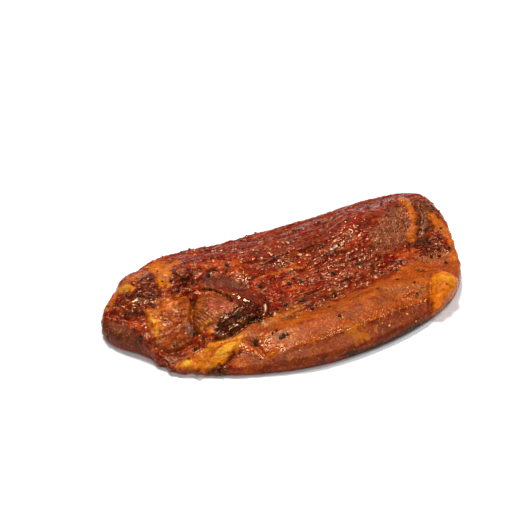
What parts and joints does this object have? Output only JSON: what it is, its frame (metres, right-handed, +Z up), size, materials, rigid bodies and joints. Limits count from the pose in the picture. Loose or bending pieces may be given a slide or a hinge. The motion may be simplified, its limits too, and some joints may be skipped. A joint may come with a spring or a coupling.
{
  "type": "marinated raw beef steak",
  "caption": "Raw, marinated beef steak lying flat, with a rolled front edge, lumpy muscles, fat along its seams and a thicker back edge.",
  "frame": {"origin": "centre of the steak's bounding box, at the flat underside it rests on", "axes": "+X along the steak from its narrow lobed end to its broad end, +Y towards the thick back edge, +Z up"},
  "size_m": [0.2142, 0.1586, 0.03],
  "materials": {
    "marinated_meat": "wet, oily red-brown marinade over meat and fat",
    "cracked_pepper": "oiled cracked peppercorn, nearly black",
    "pale_seed": "oiled pale yellow seed and garlic crumb",
    "red_spice": "wet ground red spice"
  },
  "bodies": {
    "root": {"steak": "marinated_meat"}
  },
  "joints": []
}
